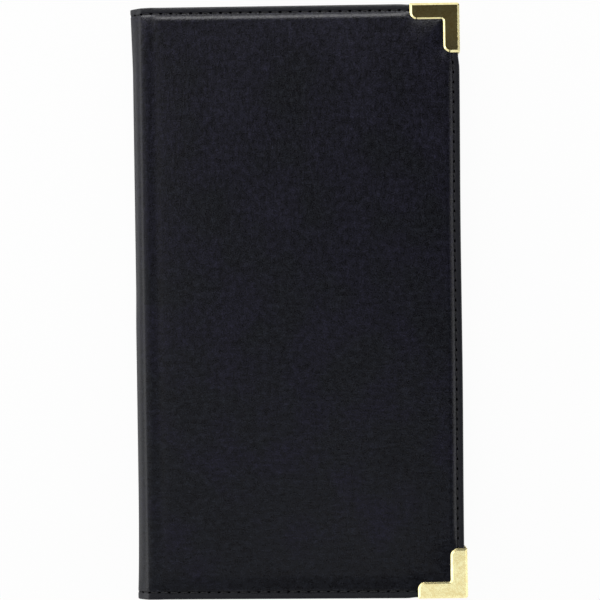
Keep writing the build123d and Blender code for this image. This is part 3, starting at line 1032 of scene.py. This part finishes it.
# %% The table
TABLE_SIZE, TABLE_LEVEL = 6.0, -0.0002
PAPER, WHITE = rgb(0.90, 0.90, 0.90), rgb(1, 1, 1)
CAMERA_GLOW, SHADED_GLOW, SHADE_SPAN, SHADE_SLANT = 0.95, 0.05, (-250, 250), 2.3


def white_table():
    finish = Finish("white_table")
    rays = finish.node("ShaderNodeLightPath", {}, {})
    x, y, _ = axes(finish, own_place(finish))
    reflected = step(finish, SHADE_SLANT * x - y, *SHADE_SPAN, SHADED_GLOW, 1.0, kind="LINEAR")
    seen = rays["Is Camera Ray"] * CAMERA_GLOW + rays["Is Glossy Ray"] * reflected
    paper = finish.node("ShaderNodeBsdfDiffuse", {}, {"Color": PAPER})["BSDF"]
    white = finish.node("ShaderNodeEmission", {}, {"Color": WHITE, "Strength": 1.0})["Emission"]
    return finish.surface(finish.node("ShaderNodeMixShader", {}, {0: seen, 1: paper, 2: white})["Shader"])


bpy.ops.mesh.primitive_plane_add(size=TABLE_SIZE, location=(0, 0, TABLE_LEVEL))
table = bpy.context.object
table.name = "table"
table.data.materials.append(white_table())

# %% [markdown]
# ## The lamps
#
# Small lamps would burn hard spots into the gloss, so all are wide rectangles. A large one beyond the top
# edge shines along the panel and picks out its upper shoulder, a lower one on the left lights the fold, and a
# weak one fills from the right.

# %% The lamps
def area_lamp(name, width, height, power, colour=(1, 1, 1)):
    """A rectangular lamp that faces straight down until it is turned."""
    lamp = bpy.data.lights.new(name, "AREA")
    lamp.shape, lamp.size, lamp.size_y = "RECTANGLE", width, height
    lamp.energy, lamp.color = power, colour
    holder = bpy.data.objects.new(name, lamp)
    bpy.context.scene.collection.objects.link(holder)
    print(f"{name}: radiance {power / (math.pi * width * height):.2f}")
    return holder


def soft_lamp(name, azimuth, elevation, distance, width, height, power):
    """A lamp that faces the presenter. Azimuth 0 stands beyond the top edge, 90 at the right."""
    a, e = math.radians(azimuth), math.radians(elevation)
    towards = (math.sin(a) * math.cos(e), math.cos(a) * math.cos(e), math.sin(e))
    lamp = area_lamp(name, width, height, power)
    lamp.location = [distance * v for v in towards]
    lamp.rotation_euler = (math.pi / 2 - e, 0, math.pi - a)


soft_lamp("top_softbox", azimuth=0, elevation=38.5, distance=1.6, width=1.6, height=0.42, power=16.5)
soft_lamp("left_softbox", azimuth=-80, elevation=27, distance=0.7, width=0.9, height=0.38, power=1.45)
soft_lamp("right_fill", azimuth=90, elevation=22, distance=1.3, width=0.7, height=0.50, power=1.65)

# %% [markdown]
# ## The cards
#
# Brass shows only what it mirrors, and its flat faces mirror what stands overhead. One white card there makes
# the near guard pale, and three dim brown shelves beyond it give the far guard its deep olive.

# %% The cards
CAMERA_DISTANCE = 0.870
BROWN, SHELVES, FIRST_SHELF, SHELF_STEP = (1.0, 0.80, 0.45), 3, 0.170, 0.062


def card(name, width, height, x, y, radiance, colour=(1, 1, 1)):
    """A card that faces straight down, at the height of the camera."""
    sheet = area_lamp(name, width, height, radiance * math.pi * width * height, colour)
    sheet.location = (x, y, CAMERA_DISTANCE)


card("white_card", width=0.26, height=0.11, x=0.10, y=-0.245, radiance=1.05)
for shelf in range(SHELVES):
    y = FIRST_SHELF + SHELF_STEP * shelf
    card(f"brown_card_{shelf}", width=0.14, height=0.028, x=0.125, y=y, radiance=0.085, colour=BROWN)

# %% [markdown]
# ## The room
#
# The bevels of the guards and the rounded shoulders of the padding mirror the walls. A plain grey world would
# leave them dull, so the room is pale at the sides, dark overhead, bright low down at the far edge and on the
# near side, and white to the camera. Directions are numbers from -1 to 1, and a pair such as (0.30, 0.60)
# gives the two between which one wall turns into the next.

# %% The room
DARK_ROOM, DIM_ROOM, PALE_ROOM, BRIGHT_ROOM = (rgb(grey, grey, grey) for grey in (0.03, 0.20, 0.50, 1.15))
CEILING, CEILING_LEAN_X, CEILING_LEAN_Y = (0.55, 1.0), 1.2, 0.35
FAR_WALL, FAR_WALL_TOP = (0.30, 0.60), (0.18, 0.28)
NEAR_WALL, NEAR_WALL_TOP, DUSK = (-0.02, -0.25), (0.10, 0.24), (-0.12, 0.12)
LEFT_GAP, RIGHT_GAP, ASIDE_TOP = (-0.20, -0.12), (0.035, 0.06), (0.44, 0.50)

room = Finish("studio_room", family="worlds")
x, y, z = axes(room, room.node("ShaderNodeTexCoord", {}, {})["Generated"])

overhead = step(room, z + CEILING_LEAN_X * x + CEILING_LEAN_Y * y, *CEILING, kind="LINEAR")
far_low = step(room, y, *FAR_WALL) * (1 - step(room, z, *FAR_WALL_TOP))
sides = mix(room, far_low, mix(room, overhead, PALE_ROOM, DARK_ROOM), BRIGHT_ROOM)

low = 1 - step(room, z, *NEAR_WALL_TOP)
aside = 1 - step(room, x, *LEFT_GAP) + step(room, x, *RIGHT_GAP)
low_aside = aside * (1 - step(room, z, *ASIDE_TOP))
dusk = mix(room, step(room, x, *DUSK), DIM_ROOM, DARK_ROOM)
near_side = mix(room, low.larger(low_aside), dusk, BRIGHT_ROOM)

walls = mix(room, step(room, y, *NEAR_WALL), sides, near_side)
to_camera = room.node("ShaderNodeLightPath", {}, {})["Is Camera Ray"]
seen = mix(room, to_camera, walls, WHITE)
background = room.node("ShaderNodeBackground", {}, {"Color": seen})["Background"]
bpy.context.scene.world = room.surface(background, "ShaderNodeOutputWorld")

# %% [markdown]
# ## The camera
#
# A long lens looks straight down on the closed presenter. The presenter lies turned by under a degree, so the
# camera is turned instead and the object's own frame stays square.

# %% The camera
LENS, SENSOR_WIDTH, CAMERA_TURN, CAMERA_ASIDE = 122.57, 36.0, math.radians(-0.85), (0.00059, 0.00111)
top_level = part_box("front_corner_top")[1].z
camera_data = bpy.data.cameras.new("camera")
camera_data.lens, camera_data.sensor_width = LENS, SENSOR_WIDTH
camera = bpy.data.objects.new("camera", camera_data)
camera.location = (*CAMERA_ASIDE, top_level + CAMERA_DISTANCE)
camera.rotation_euler = (0, 0, CAMERA_TURN)
bpy.context.scene.collection.objects.link(camera)
bpy.context.scene.camera = camera
bpy.context.scene.view_settings.view_transform = "Standard"
print(f"camera at {camera.location.z:.3f} m with a lens of {LENS} mm")
